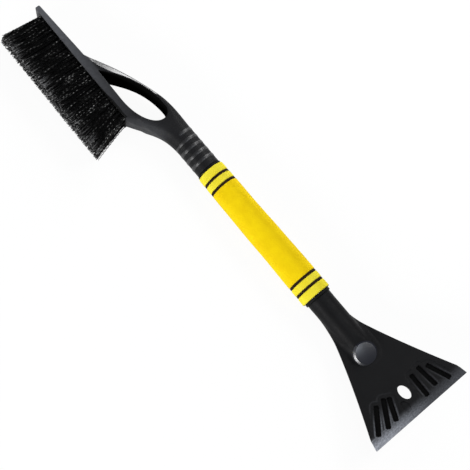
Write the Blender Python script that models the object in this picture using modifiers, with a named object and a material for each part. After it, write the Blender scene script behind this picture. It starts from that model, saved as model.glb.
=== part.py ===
"""Snow brush with an ice scraper, 24-inch class, as separate pieces.

Metres, +Z up. The handle runs along X, with the brush at -X and the scraper at +X.
The bristles point to -Y. The tool lies on the flat side of its brush and on its grip.
Pieces are modelled about the handle's axis, with x = 0 at the middle of the grip, and
an empty then carries them so that the origin is under the middle of the whole tool.
"""
import bmesh
import bpy
from math import cos, pi, radians, sin, tan
from mathutils import Matrix, Vector

OBJECT_NAME = "snow_brush_scraper"

# Fits
SLIP_FIT = 0.0003
SEAT_GAP = 0.0003
ROUND_STEPS = 28
MERGE_DISTANCE = 0.00001
SHARP_ANGLE = radians(35.0)
BEVEL_ANGLE = radians(50.0)

# Handle tube
TUBE_RADIUS = 0.0110
TUBE_WALL = 0.0015
BRUSH_SOCKET_DEPTH = 0.045
SCRAPER_SOCKET_DEPTH = 0.038

# Foam grip, thicker towards the scraper, with two stripes at each end
GRIP_MAIN_LENGTH = 0.1290
INNER_BAND_WIDTH = 0.0080
OUTER_BAND_WIDTH = 0.0097
STRIPE_WIDTH = 0.0024
STRIPE_INSET = 0.0003
GRIP_RADIUS_UPPER = 0.0159
GRIP_RADIUS_LOWER = 0.0177
FOAM_EDGE = 0.0008
STRIPE_EDGE = 0.0006

# Collars at the ends of the grip
UPPER_COLLAR_WIDTH = 0.0022
UPPER_COLLAR_RADIUS = 0.0149
LOWER_COLLAR_WIDTH = 0.0032
LOWER_COLLAR_RADIUS = 0.0156
COLLAR_EDGE = 0.0005

# Ribbed neck of the brush
NECK_RADIUS = 0.0141
NECK_LENGTH = 0.062
NECK_EDGE = 0.0008
RIB_COUNT = 5
RIB_PITCH = 0.0092
RIB_WIDTH = 0.0050
RIB_CREST = 0.0020
RIB_HEIGHT = 0.0008
FIRST_RIB = 0.0100

# Brush frame in plan. Stations are measured from the mouth of the neck towards the far end.
BLEND_START = 0.030
BLEND_RADIUS = 0.0080
ARCH_START = 0.0567
ARCH_END = 0.1817
ARCH_POWER = 1.65
BAR_NEAR = 0.0890
BAR_LENGTH = 0.1690
BAR_DROP = 0.0382
BAR_TILT = radians(0.7)
BAR_ROOT_THICKNESS = 0.0093
BAR_TIP_THICKNESS = 0.0059
SHOULDER_POWER = 1.75
SHOULDER_STEP = 0.0060
BAR_NEAR_CHAMFER = 0.0070
FRAME_EDGE = 0.0012
OUTLINE_STEPS = 12

# Finger loop between the two arms
LOOP_NEAR = 0.0720
LOOP_FAR = 0.1570
LOOP_MIDDLE_DROP = 0.0050
UPPER_ARM_THICKNESS = 0.0068
LOWER_ARM_THICKNESS = 0.0104
LOOP_CURVE_POWER = 1.95
LOOP_UPPER_ROUND = 0.0120
LOOP_LOWER_ROUND = 0.0440
LOOP_STEPS = 8

# Bristle rows, each a strip set in a slot of the bar
ROW_COUNT = 4
ROW_PITCH = 0.0082
STRIP_WIDTH = 0.0066
STRIP_THICKNESS = 0.0020
STRIP_LENGTH = 0.1535
STRIP_NEAR_MARGIN = 0.0015
BRISTLE_LENGTH = 0.0470
STRANDS_ALONG = 38
STRANDS_ACROSS = 2
STRAND_ROOT = 0.0015
STRAND_TIP_SHARE = 0.6
FLARE_NEAR = 0.0125
FLARE_FAR = 0.0030
FLARE_POWER = 2.5
FLARE_ACROSS = 0.16
RAGGED_TIP = 0.0012
RAGGED_STEP = 2.4

# Scraper head. Stations are measured from the mouth of its neck towards the edge.
WING_START = 0.0180
WING_START_HALF_WIDTH = 0.0095
BLADE_LENGTH = 0.1597
BLADE_HALF_WIDTH = 0.0635
BLADE_CORNER_LENGTH = 0.0120
BLADE_CORNER_NARROWING = 0.0030
BLADE_FLARE_POWER = 1.2
BLADE_THICKNESS = 0.0042
BLADE_CRANK = radians(12.5)
BLADE_DROP = 0.0062
BLADE_DROP_STATION = 0.0260
BEVEL_LENGTH = 0.0100
EDGE_THICKNESS = 0.0012
RIDGE_LENGTH = 0.0740
NOSE_LENGTH = 0.0160
RAMP_START = 0.0440
RAMP_SLOPE = radians(19.0)

# Round pad on the sloped end of the ridge
PAD_STATION = 0.0755
PAD_ASIDE = -0.0010
PAD_HEIGHT = 0.0117
PAD_SLOPE = radians(10.0)
PAD_RADIUS = 0.0123
PAD_PROUD = 0.0009
PAD_DEPTH = 0.0060

# Hanging hole in the blade, measured along the blade from its edge
HOLE_FROM_EDGE = 0.0266
HOLE_LENGTH = 0.0170
HOLE_WIDTH = 0.0114

# Grooves that break the ice: middle from the edge, middle across, length and turn of each
GROOVES = (
    (0.0221, -0.0419, 0.0323, radians(-38.2)),
    (0.0222, -0.0300, 0.0322, radians(-33.3)),
    (0.0211, -0.0217, 0.0259, radians(-25.8)),
    (0.0217, 0.0165, 0.0277, radians(-4.7)),
    (0.0241, 0.0292, 0.0267, radians(2.5)),
    (0.0197, 0.0417, 0.0278, radians(19.3)),
)
GROOVE_WIDTH = 0.0050
GROOVE_DEPTH = 0.0016

# Places along the handle's axis that follow from the sizes above
BAND_STEP = STRIPE_WIDTH + SEAT_GAP
GRIP_HALF = (GRIP_MAIN_LENGTH / 2 + 2 * BAND_STEP + INNER_BAND_WIDTH + OUTER_BAND_WIDTH + 2 * SEAT_GAP)
BRUSH_MOUTH = -(GRIP_HALF + UPPER_COLLAR_WIDTH + 2 * SEAT_GAP)
SCRAPER_MOUTH = GRIP_HALF + LOWER_COLLAR_WIDTH + 2 * SEAT_GAP
BORE_RADIUS = TUBE_RADIUS + SLIP_FIT
BAR_HALF_DEPTH = GRIP_RADIUS_LOWER
BAR_FAR = BAR_NEAR + BAR_LENGTH
SLOTS_NEAR = BAR_NEAR + BAR_NEAR_CHAMFER
CUT_REACH = 0.05


def clear_scene():
    for old in list(bpy.data.objects):
        bpy.data.objects.remove(old, do_unlink=True)


def new_collection(name):
    collection = bpy.data.collections.new(name)
    bpy.context.scene.collection.children.link(collection)
    return collection


def new_material(name, colour, roughness, metallic=0.0):
    material = bpy.data.materials.new(name)
    material.use_nodes = True
    shader = material.node_tree.nodes["Principled BSDF"]
    shader.inputs["Base Color"].default_value = (*colour, 1.0)
    shader.inputs["Roughness"].default_value = roughness
    shader.inputs["Metallic"].default_value = metallic
    return material


def new_empty(name, parent, location=(0.0, 0.0, 0.0)):
    empty = bpy.data.objects.new(name, None)
    PARTS.objects.link(empty)
    empty.parent = parent
    empty.location = location
    return empty


def new_object(name, mesh, collection):
    piece = bpy.data.objects.new(name, mesh)
    collection.objects.link(piece)
    return piece


def as_mesh(source):
    """Replace an object by a plain mesh of its evaluated shape, in world space."""
    bpy.context.view_layer.update()
    graph = bpy.context.evaluated_depsgraph_get()
    mesh = bpy.data.meshes.new_from_object(source.evaluated_get(graph))
    mesh.transform(source.matrix_world)
    shape = bmesh.new()
    shape.from_mesh(mesh)
    bmesh.ops.remove_doubles(shape, verts=shape.verts, dist=MERGE_DISTANCE)
    shape.to_mesh(mesh)
    shape.free()
    name = source.name
    collection = source.users_collection[0]
    bpy.data.objects.remove(source, do_unlink=True)
    return new_object(name, mesh, collection)


def turned(name, profile, collection):
    """Turn (radius, x) points about the X axis. They run from the +X end down the outside."""
    mesh = bpy.data.meshes.new(name)
    points = [(radius, 0.0, x) for radius, x in profile]
    closed = profile[0][0] > 0.0
    edges = [(i, i + 1) for i in range(len(points) - 1)]
    if closed:
        edges.append((len(points) - 1, 0))
    mesh.from_pydata(points, edges, [])
    piece = new_object(name, mesh, collection)
    screw = piece.modifiers.new("turn", "SCREW")
    screw.axis = "Z"
    screw.angle = 2 * pi
    screw.steps = ROUND_STEPS
    screw.render_steps = ROUND_STEPS
    screw.use_merge_vertices = True
    screw.merge_threshold = MERGE_DISTANCE
    piece.rotation_euler = (0.0, pi / 2, 0.0)
    return as_mesh(piece)


def flat_shape(name, outlines, half_depth, collection):
    """Extrude closed outlines in the XY plane to a solid of twice half_depth."""
    curve = bpy.data.curves.new(name, "CURVE")
    curve.dimensions = "2D"
    curve.fill_mode = "BOTH"
    curve.extrude = half_depth
    for outline in outlines:
        spline = curve.splines.new("POLY")
        spline.points.add(len(outline) - 1)
        for point, (x, y) in zip(spline.points, outline):
            point.co = (x, y, 0.0, 1.0)
        spline.use_cyclic_u = True
    piece = bpy.data.objects.new(name, curve)
    collection.objects.link(piece)
    return as_mesh(piece)


def primitive(name, shape, low, high, collection):
    """An object from a primitive of unit size, stretched to fill the box from low to high."""
    size = Vector(high) - Vector(low)
    middle = (Vector(high) + Vector(low)) / 2
    bmesh.ops.scale(shape, vec=size, verts=shape.verts)
    bmesh.ops.translate(shape, vec=middle, verts=shape.verts)
    mesh = bpy.data.meshes.new(name)
    shape.to_mesh(mesh)
    shape.free()
    return new_object(name, mesh, collection)


def box(name, low, high, collection):
    shape = bmesh.new()
    bmesh.ops.create_cube(shape, size=1.0)
    return primitive(name, shape, low, high, collection)


def cylinder(name, low, high, collection):
    """A round or oval cylinder along Z that fills the box from low to high."""
    shape = bmesh.new()
    bmesh.ops.create_cone(shape, cap_ends=True, segments=ROUND_STEPS, radius1=0.5, radius2=0.5, depth=1.0)
    return primitive(name, shape, low, high, collection)


def hide_cutter(cutter):
    cutter.hide_render = True
    cutter.display_type = "WIRE"


def combine(piece, other, operation):
    """Join, cut or keep the shared part of two solids with an exact Boolean."""
    step = piece.modifiers.new(operation.lower(), "BOOLEAN")
    step.operation = operation
    step.object = other
    step.solver = "EXACT"
    hide_cutter(other)
    return as_mesh(piece)


def finish(piece, material, parent):
    piece.data.materials.clear()
    piece.data.materials.append(material)
    piece.data.shade_smooth()
    piece.data.set_sharp_from_angle(angle=SHARP_ANGLE)
    piece.parent = parent


def grip_radius(x):
    share = (x + GRIP_HALF) / (2 * GRIP_HALF)
    return GRIP_RADIUS_UPPER + (GRIP_RADIUS_LOWER - GRIP_RADIUS_UPPER) * share


def ring_profile(low, high, low_radius, high_radius, edge):
    """A sleeve on the tube from x = low to x = high, with its outer corners broken."""
    return [
        (BORE_RADIUS, high),
        (high_radius - edge, high),
        (high_radius, high - edge),
        (low_radius, low + edge),
        (low_radius - edge, low),
        (BORE_RADIUS, low),
    ]


def make_tube():
    low = BRUSH_MOUTH - BRUSH_SOCKET_DEPTH
    high = SCRAPER_MOUTH + SCRAPER_SOCKET_DEPTH
    inside = TUBE_RADIUS - TUBE_WALL
    profile = [(inside, high), (TUBE_RADIUS, high), (TUBE_RADIUS, low), (inside, low)]
    tube = turned("handle_tube", profile, PARTS)
    finish(tube, new_material("tube_metal", (0.55, 0.56, 0.58), 0.35, 1.0), HANDLE)


def make_grip():
    """The main sleeve, then a stripe, a band, a stripe and a band towards each end."""
    half = GRIP_MAIN_LENGTH / 2
    pieces = [("grip_sleeve", -half, half, 0.0)]
    for side, end in ((-1, "upper"), (1, "lower")):
        place = half + SEAT_GAP
        for kind, width, inset in (
            ("inner_stripe", STRIPE_WIDTH, STRIPE_INSET),
            ("inner_band", INNER_BAND_WIDTH, 0.0),
            ("outer_stripe", STRIPE_WIDTH, STRIPE_INSET),
            ("outer_band", OUTER_BAND_WIDTH, 0.0),
        ):
            ends = sorted((side * place, side * (place + width)))
            pieces.append((f"{end}_{kind}", ends[0], ends[1], inset))
            place += width + SEAT_GAP
    for name, low, high, inset in pieces:
        edge = STRIPE_EDGE if inset else FOAM_EDGE
        profile = ring_profile(low, high, grip_radius(low) - inset, grip_radius(high) - inset, edge)
        piece = turned(name, profile, PARTS)
        if inset:
            material = new_material(f"{name}_foam", (0.02, 0.017, 0.012), 0.85)
        else:
            material = new_material(f"{name}_foam", (0.76, 0.55, 0.006), 0.8)
        finish(piece, material, HANDLE)


def make_collars():
    places = (
        ("upper_collar", BRUSH_MOUTH + SEAT_GAP, UPPER_COLLAR_WIDTH, UPPER_COLLAR_RADIUS),
        ("lower_collar", GRIP_HALF + SEAT_GAP, LOWER_COLLAR_WIDTH, LOWER_COLLAR_RADIUS),
    )
    for name, low, width, radius in places:
        profile = ring_profile(low, low + width, radius, radius, COLLAR_EDGE)
        collar = turned(name, profile, PARTS)
        finish(collar, new_material(f"{name}_plastic", (0.012, 0.012, 0.013), 0.4), HANDLE)


def bar_underside(u):
    return -(BAR_DROP - (u - BAR_NEAR) * tan(BAR_TILT))


def bar_back(u):
    """Back edge of the bar, which thins from the arch to the far end."""
    share = (u - ARCH_END) / (BAR_FAR - ARCH_END)
    thickness = BAR_ROOT_THICKNESS + (BAR_TIP_THICKNESS - BAR_ROOT_THICKNESS) * share
    return bar_underside(u) + thickness


def arch(u):
    """Outer edge of the upper arm, from the top of the neck down to the bar."""
    share = (u - ARCH_START) / (ARCH_END - ARCH_START)
    return NECK_RADIUS - (NECK_RADIUS - bar_back(ARCH_END)) * share ** ARCH_POWER


def shoulder(u):
    """Lower edge of the lower arm, from under the neck down to the bar's near corner."""
    corner = bar_underside(BAR_NEAR) + SHOULDER_STEP
    share = (u - BLEND_START) / (BAR_NEAR - BLEND_START)
    return -NECK_RADIUS + (corner + NECK_RADIUS) * share ** SHOULDER_POWER


def spread(start, end, steps):
    return [start + (end - start) * i / steps for i in range(steps + 1)]


def at_station(u, y):
    return (BRUSH_MOUTH - u, y)


def frame_outline():
    outline = [at_station(BLEND_START, BLEND_RADIUS)]
    outline += [at_station(u, arch(u)) for u in spread(ARCH_START, ARCH_END, OUTLINE_STEPS)]
    outline.append(at_station(BAR_FAR, bar_back(BAR_FAR)))
    outline.append(at_station(BAR_FAR, bar_underside(BAR_FAR)))
    outline.append(at_station(SLOTS_NEAR, bar_underside(SLOTS_NEAR)))
    stations = spread(BAR_NEAR, BLEND_START, OUTLINE_STEPS // 2)
    outline += [at_station(u, shoulder(u)) for u in stations[:-1]]
    outline.append(at_station(BLEND_START, -BLEND_RADIUS))
    return outline


def oval_quarter(reach, end):
    """Quarter of an oval from the loop's near end to a height, without that last point."""
    middle = -LOOP_MIDDLE_DROP
    points = []
    for turn in spread(0.0, pi / 2, LOOP_STEPS)[:-1]:
        u = LOOP_NEAR + reach * (1 - cos(turn))
        points.append(at_station(u, middle + (end - middle) * sin(turn)))
    return points


def loop_outline():
    """The finger loop: a round near end, an arched top, a flat foot and a pointed far end."""
    top_start = LOOP_NEAR + LOOP_UPPER_ROUND
    foot_start = LOOP_NEAR + LOOP_LOWER_ROUND
    top = arch(top_start) - UPPER_ARM_THICKNESS
    foot = bar_underside(foot_start) + LOWER_ARM_THICKNESS
    tip = bar_underside(LOOP_FAR) + LOWER_ARM_THICKNESS
    outline = oval_quarter(LOOP_UPPER_ROUND, top)
    for u in spread(top_start, LOOP_FAR, LOOP_STEPS):
        share = (u - top_start) / (LOOP_FAR - top_start)
        outline.append(at_station(u, top - (top - tip) * share ** LOOP_CURVE_POWER))
    outline.append(at_station(foot_start, foot))
    return outline + oval_quarter(LOOP_LOWER_ROUND, foot)[:0:-1]


def frame_side_outline():
    """Depth of the frame seen from above the bristles: full at the bar, neck-sized at the neck."""
    stations = (
        (BLEND_START, BLEND_RADIUS),
        (NECK_LENGTH, NECK_RADIUS),
        (ARCH_END, BAR_HALF_DEPTH),
        (BAR_FAR + CUT_REACH, BAR_HALF_DEPTH),
    )
    upper = [at_station(u, half) for u, half in stations]
    lower = [at_station(u, -half) for u, half in reversed(stations)]
    return upper + lower


def neck_profile():
    """Ribbed neck, from its mouth at the grip to its end inside the frame."""
    profile = [(0.0, BRUSH_MOUTH), (NECK_RADIUS - NECK_EDGE, BRUSH_MOUTH)]
    profile.append((NECK_RADIUS, BRUSH_MOUTH - NECK_EDGE))
    for rib in range(RIB_COUNT):
        middle = BRUSH_MOUTH - FIRST_RIB - rib * RIB_PITCH
        profile.append((NECK_RADIUS, middle + RIB_WIDTH / 2))
        profile.append((NECK_RADIUS + RIB_HEIGHT, middle + RIB_CREST / 2))
        profile.append((NECK_RADIUS + RIB_HEIGHT, middle - RIB_CREST / 2))
        profile.append((NECK_RADIUS, middle - RIB_WIDTH / 2))
    profile.append((NECK_RADIUS, BRUSH_MOUTH - NECK_LENGTH))
    profile.append((0.0, BRUSH_MOUTH - NECK_LENGTH))
    return profile


def bar_matrix():
    """Frame of the bar's underside: X along the bar from its near end, -Y along the bristles."""
    corner = at_station(SLOTS_NEAR, bar_underside(SLOTS_NEAR))
    return Matrix.Translation((*corner, 0.0)) @ Matrix.Rotation(-BAR_TILT, 4, "Z")


def row_offset(row):
    return (row - (ROW_COUNT - 1) / 2) * ROW_PITCH


def make_brush_frame():
    body = flat_shape("brush_frame", [frame_outline(), loop_outline()], BAR_HALF_DEPTH + CUT_REACH, PARTS)
    side = flat_shape("frame_depth", [frame_side_outline()], CUT_REACH * 2, CUTTERS)
    side.data.transform(Matrix.Rotation(pi / 2, 4, "X"))
    body = combine(body, side, "INTERSECT")
    rounding = body.modifiers.new("edges", "BEVEL")
    rounding.width = FRAME_EDGE
    rounding.segments = 2
    rounding.limit_method = "ANGLE"
    rounding.angle_limit = BEVEL_ANGLE
    body = as_mesh(body)
    neck = turned("ribbed_neck", neck_profile(), CUTTERS)
    body = combine(body, neck, "UNION")
    for row in range(ROW_COUNT):
        half = STRIP_WIDTH / 2 + SLIP_FIT
        low = (-STRIP_NEAR_MARGIN - STRIP_LENGTH - SLIP_FIT, -CUT_REACH / 2, row_offset(row) - half)
        high = (-STRIP_NEAR_MARGIN + SLIP_FIT, STRIP_THICKNESS + SEAT_GAP, row_offset(row) + half)
        slot = box(f"slot_{row + 1}", low, high, CUTTERS)
        slot.data.transform(bar_matrix())
        body = combine(body, slot, "DIFFERENCE")
    depth = BRUSH_SOCKET_DEPTH + SEAT_GAP
    profile = [
        (0.0, BRUSH_MOUTH + CUT_REACH),
        (BORE_RADIUS, BRUSH_MOUTH + CUT_REACH),
        (BORE_RADIUS, BRUSH_MOUTH - depth),
        (0.0, BRUSH_MOUTH - depth),
    ]
    socket = turned("brush_socket", profile, CUTTERS)
    body = combine(body, socket, "DIFFERENCE")
    finish(body, new_material("brush_frame_plastic", (0.02, 0.02, 0.022), 0.4), BRUSH)


def fan_out(along):
    """How far a strand leans along the bar, which grows towards both ends of its strip."""
    share = 2 * along / STRIP_LENGTH
    reach = FLARE_NEAR if share > 0.0 else -FLARE_FAR
    return reach * abs(share) ** FLARE_POWER


def make_bristle_row(row):
    """One strip with its strands drawn out of it, leaning apart towards the tips."""
    shape = bmesh.new()
    bmesh.ops.create_grid(shape, x_segments=STRANDS_ALONG, y_segments=STRANDS_ACROSS, size=0.5)
    bmesh.ops.scale(shape, vec=(STRIP_LENGTH, STRIP_WIDTH, 1.0), verts=shape.verts)
    grown = bmesh.ops.extrude_face_region(shape, geom=shape.faces[:])["geom"]
    raised = [v for v in grown if isinstance(v, bmesh.types.BMVert)]
    bmesh.ops.translate(shape, vec=(0.0, 0.0, STRIP_THICKNESS), verts=raised)
    bmesh.ops.recalc_face_normals(shape, faces=shape.faces[:])
    cells = [f for f in shape.faces if f.normal.z > 0.5]
    narrow = min(STRIP_LENGTH / STRANDS_ALONG, STRIP_WIDTH / STRANDS_ACROSS)
    bmesh.ops.inset_individual(shape, faces=cells, thickness=(narrow - STRAND_ROOT) / 2, use_even_offset=True)
    strands = bmesh.ops.extrude_discrete_faces(shape, faces=cells)["faces"]
    for number, tip in enumerate(strands):
        root = tip.calc_center_median()
        length = BRISTLE_LENGTH + RAGGED_TIP * sin(RAGGED_STEP * number + row)
        across = root.y + row_offset(row)
        lean = Vector((fan_out(root.x), across * FLARE_ACROSS, length))
        for corner in tip.verts:
            corner.co = root + (corner.co - root) * STRAND_TIP_SHARE + lean
    name = f"bristle_row_{row + 1}"
    mesh = bpy.data.meshes.new(name)
    shape.to_mesh(mesh)
    shape.free()
    strip = new_object(name, mesh, PARTS)
    # The grid's +Z becomes the bristles' -Y, and its +Y becomes +Z.
    turn = Matrix(((1, 0, 0, 0), (0, 0, -1, 0), (0, 1, 0, 0), (0, 0, 0, 1)))
    seat = Matrix.Translation((-STRIP_NEAR_MARGIN - STRIP_LENGTH / 2, STRIP_THICKNESS, row_offset(row)))
    mesh.transform(bar_matrix() @ seat @ turn)
    finish(strip, new_material(f"{name}_nylon", (0.01, 0.01, 0.01), 0.55), BRUSH)


def blade_matrix():
    """Frame of the blade's middle plane: X along the blade from the mouth, raised at its edge."""
    pivot = Matrix.Translation((SCRAPER_MOUTH + BLADE_DROP_STATION, 0.0, -BLADE_DROP))
    return pivot @ Matrix.Rotation(-BLADE_CRANK, 4, "Y") @ Matrix.Translation((-BLADE_DROP_STATION, 0.0, 0.0))


def blade_outline():
    corner_half = BLADE_HALF_WIDTH - BLADE_CORNER_NARROWING
    corner = BLADE_LENGTH - BLADE_CORNER_LENGTH
    right = []
    for v in spread(WING_START, corner, OUTLINE_STEPS):
        share = (v - WING_START) / (corner - WING_START)
        half = WING_START_HALF_WIDTH + (corner_half - WING_START_HALF_WIDTH) * share ** BLADE_FLARE_POWER
        right.append((v, half))
    right.append((BLADE_LENGTH, BLADE_HALF_WIDTH))
    left = [(v, -half) for v, half in reversed(right)]
    return right + left


def ridge_profile():
    """Neck of the scraper and the ridge that it runs into, with an oval nose at its end."""
    end = SCRAPER_MOUTH + RIDGE_LENGTH
    profile = [(0.0, end + NOSE_LENGTH)]
    for i in range(1, LOOP_STEPS + 1):
        turn = pi / 2 * i / LOOP_STEPS
        profile.append((NECK_RADIUS * sin(turn), end + NOSE_LENGTH * cos(turn)))
    profile.append((NECK_RADIUS, SCRAPER_MOUTH + NECK_EDGE))
    profile.append((NECK_RADIUS - NECK_EDGE, SCRAPER_MOUTH))
    profile.append((0.0, SCRAPER_MOUTH))
    return profile


def sloped_box(name, corner, slope, above):
    """A cutter on one side of a plane that runs from corner towards +X at the given slope."""
    reach = CUT_REACH * 3
    low = (0.0, -reach, 0.0 if above else -reach)
    high = (reach, reach, reach if above else 0.0)
    cutter = box(name, low, high, CUTTERS)
    cutter.data.transform(Matrix.Translation(corner) @ Matrix.Rotation(-slope, 4, "Y"))
    return cutter


def nose_facet():
    """Cutter for the slope at the ridge's end, which lies a little under the face of its pad."""
    rise = PAD_PROUD + (NECK_RADIUS - PAD_HEIGHT) * cos(PAD_SLOPE)
    start = SCRAPER_MOUTH + PAD_STATION - rise / sin(PAD_SLOPE)
    return sloped_box("nose_facet", (start, 0.0, NECK_RADIUS), -PAD_SLOPE, True)


def make_pad():
    """Round pad that stands on the slope at the ridge's end."""
    low = (-PAD_RADIUS, -PAD_RADIUS, -PAD_DEPTH)
    high = (PAD_RADIUS, PAD_RADIUS, 0.0)
    pad = cylinder("ridge_pad", low, high, CUTTERS)
    place = Matrix.Translation((SCRAPER_MOUTH + PAD_STATION, PAD_ASIDE, PAD_HEIGHT))
    pad.data.transform(place @ Matrix.Rotation(PAD_SLOPE, 4, "Y"))
    return pad


def edge_bevel():
    """Cutter that thins the blade towards its edge."""
    reach = CUT_REACH * 2
    bevel = box("edge_bevel", (0.0, -reach, 0.0), (CUT_REACH, reach, CUT_REACH), CUTTERS)
    lean = Matrix.Identity(4)
    lean[2][0] = -(BLADE_THICKNESS - EDGE_THICKNESS) / BEVEL_LENGTH
    bevel.data.transform(Matrix.Translation((BLADE_LENGTH - BEVEL_LENGTH, 0.0, BLADE_THICKNESS / 2)) @ lean)
    return bevel


def hole_cutter():
    """Oval hanging hole, through the blade."""
    middle = BLADE_LENGTH - HOLE_FROM_EDGE
    low = (middle - HOLE_LENGTH / 2, -HOLE_WIDTH / 2, -BLADE_THICKNESS * 2)
    high = (middle + HOLE_LENGTH / 2, HOLE_WIDTH / 2, BLADE_THICKNESS * 2)
    return cylinder("hanging_hole", low, high, CUTTERS)


def groove_cutters():
    cutters = []
    for from_edge, across, length, turn in GROOVES:
        low = (-length / 2, -GROOVE_WIDTH / 2, BLADE_THICKNESS / 2 - GROOVE_DEPTH)
        high = (length / 2, GROOVE_WIDTH / 2, BLADE_THICKNESS)
        groove = box(f"groove_{len(cutters) + 1}", low, high, CUTTERS)
        place = Matrix.Translation((BLADE_LENGTH - from_edge, across, 0.0))
        groove.data.transform(place @ Matrix.Rotation(turn, 4, "Z"))
        cutters.append(groove)
    return cutters


def make_blade():
    blade = flat_shape("blade", [blade_outline()], BLADE_THICKNESS / 2, CUTTERS)
    for cutter in [edge_bevel(), hole_cutter(), *groove_cutters()]:
        blade = combine(blade, cutter, "DIFFERENCE")
    blade.data.transform(blade_matrix())
    return blade


def make_scraper_head():
    head = turned("scraper_head", ridge_profile(), PARTS)
    head = combine(head, nose_facet(), "DIFFERENCE")
    head = combine(head, make_pad(), "UNION")
    ramp = sloped_box("underside_ramp", (SCRAPER_MOUTH + RAMP_START, 0.0, -NECK_RADIUS), RAMP_SLOPE, False)
    head = combine(head, ramp, "DIFFERENCE")
    head = combine(head, make_blade(), "UNION")
    depth = SCRAPER_SOCKET_DEPTH + SEAT_GAP
    profile = [
        (0.0, SCRAPER_MOUTH + depth),
        (BORE_RADIUS, SCRAPER_MOUTH + depth),
        (BORE_RADIUS, SCRAPER_MOUTH - CUT_REACH),
        (0.0, SCRAPER_MOUTH - CUT_REACH),
    ]
    socket = turned("scraper_socket", profile, CUTTERS)
    head = combine(head, socket, "DIFFERENCE")
    finish(head, new_material("scraper_plastic", (0.012, 0.012, 0.013), 0.35), HANDLE)


def tool_origin():
    """Where the handle's axis lies, so that the origin is under the middle of the whole tool."""
    bpy.context.view_layer.update()
    points = []
    for piece in PARTS.objects:
        if piece.type == "MESH":
            points += [piece.matrix_world @ vertex.co for vertex in piece.data.vertices]
    middle_x = (min(p.x for p in points) + max(p.x for p in points)) / 2
    middle_y = (min(p.y for p in points) + max(p.y for p in points)) / 2
    return (-middle_x, -middle_y, -min(p.z for p in points))


clear_scene()
PARTS = new_collection(OBJECT_NAME)
CUTTERS = new_collection("cutters")
TOOL = new_empty("tool_axis", None)
HANDLE = new_empty("handle_axis", TOOL)
BRUSH = new_empty("brush_axis", TOOL)
make_tube()
make_grip()
make_collars()
make_scraper_head()
make_brush_frame()
for row_number in range(ROW_COUNT):
    make_bristle_row(row_number)
TOOL.location = tool_origin()
bpy.context.view_layer.update()
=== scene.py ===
"""Looks of the snow brush with its ice scraper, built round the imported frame.

The handle runs along X, with the brush at -X and the scraper at +X, and the bristles point to -Y.
The two mouldings are shapes given by a field that is negative inside the plastic, so that their
edges and fillets are round as on a moulded part. The grip, the collars and the tube are turned.
"""
from math import cos, pi, radians, sin, tan

import bmesh
import bpy
import numpy as np
from mathutils import Matrix, Vector


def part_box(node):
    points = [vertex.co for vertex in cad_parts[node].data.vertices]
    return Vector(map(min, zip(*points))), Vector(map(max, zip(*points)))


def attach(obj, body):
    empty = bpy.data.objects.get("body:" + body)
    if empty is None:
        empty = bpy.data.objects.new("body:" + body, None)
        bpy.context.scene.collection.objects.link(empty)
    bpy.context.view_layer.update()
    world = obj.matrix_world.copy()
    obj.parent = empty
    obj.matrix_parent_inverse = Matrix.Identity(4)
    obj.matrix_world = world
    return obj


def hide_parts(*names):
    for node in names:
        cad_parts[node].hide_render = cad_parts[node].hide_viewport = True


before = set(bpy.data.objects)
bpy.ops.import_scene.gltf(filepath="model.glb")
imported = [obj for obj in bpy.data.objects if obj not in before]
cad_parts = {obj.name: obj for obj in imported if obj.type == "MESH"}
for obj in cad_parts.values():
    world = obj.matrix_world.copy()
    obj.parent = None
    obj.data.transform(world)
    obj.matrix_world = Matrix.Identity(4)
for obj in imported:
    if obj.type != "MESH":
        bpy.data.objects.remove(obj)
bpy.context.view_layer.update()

SEED = 24

# Places taken from the frame
AXIS = sum(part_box("grip_sleeve"), Vector()) / 2
BRUSH_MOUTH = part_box("brush_frame")[1].x
SCRAPER_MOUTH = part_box("scraper_head")[0].x
GRIP_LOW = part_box("upper_outer_band")[0].x
GRIP_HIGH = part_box("lower_outer_band")[1].x

# Sizes that the pieces share, in metres
SEAT_GAP = 0.0003
TUBE_RADIUS = 0.011
TUBE_WALL = 0.0015
BORE_RADIUS = 0.0113
NECK_RADIUS = 0.0141
NECK_EDGE = 0.001
GRIP_RADIUS_UPPER = 0.0159
GRIP_RADIUS_LOWER = 0.0177

# Ribbed neck of the brush
BRUSH_SOCKET_DEPTH = 0.0453
RIB_COUNT = 5
RIB_PITCH = 0.0092
RIB_WIDTH = 0.0046
RIB_HEIGHT = 0.0004
RIB_SEAT = 0.0008
RIB_SINK = 0.0002
RIB_STEPS = 10
FIRST_RIB = 0.010

# Brush frame in plan. Stations run from the mouth of the neck towards the far end.
BLEND_START = 0.030
ARCH_START = 0.0567
ARCH_END = 0.1817
ARCH_POWER = 1.76
BAR_NEAR = 0.089
BAR_FAR = 0.258
BAR_DROP = 0.0382
BAR_TILT = radians(0.7)
BAR_ROOT_THICKNESS = 0.0093
BAR_TIP_THICKNESS = 0.0059
BAR_HALF_DEPTH = 0.0177
SHOULDER_NEAR = 0.0865
SHOULDER_POWER = 2.15
SHOULDER_STEP = 0.006
SLOTS_NEAR = 0.096
BAR_END_ROUND = 0.0016
BAR_EDGE_ROUND = 0.002
SHOULDER_ROUND = 0.009
LOOP_EDGE_ROUND = 0.0016
POCKET_ROUND = 0.0005
OUTLINE_STEPS = 36

# Finger loop between the two arms
LOOP_NEAR = 0.072
LOOP_FAR = 0.157
LOOP_MIDDLE_DROP = 0.0043
UPPER_ARM_THICKNESS = 0.0062
LOWER_ARM_THICKNESS = 0.0104
LOOP_CURVE_POWER = 2.08
LOOP_UPPER_ROUND = 0.012
LOOP_LOWER_ROUND = 0.044
LOOP_STEPS = 16

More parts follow.
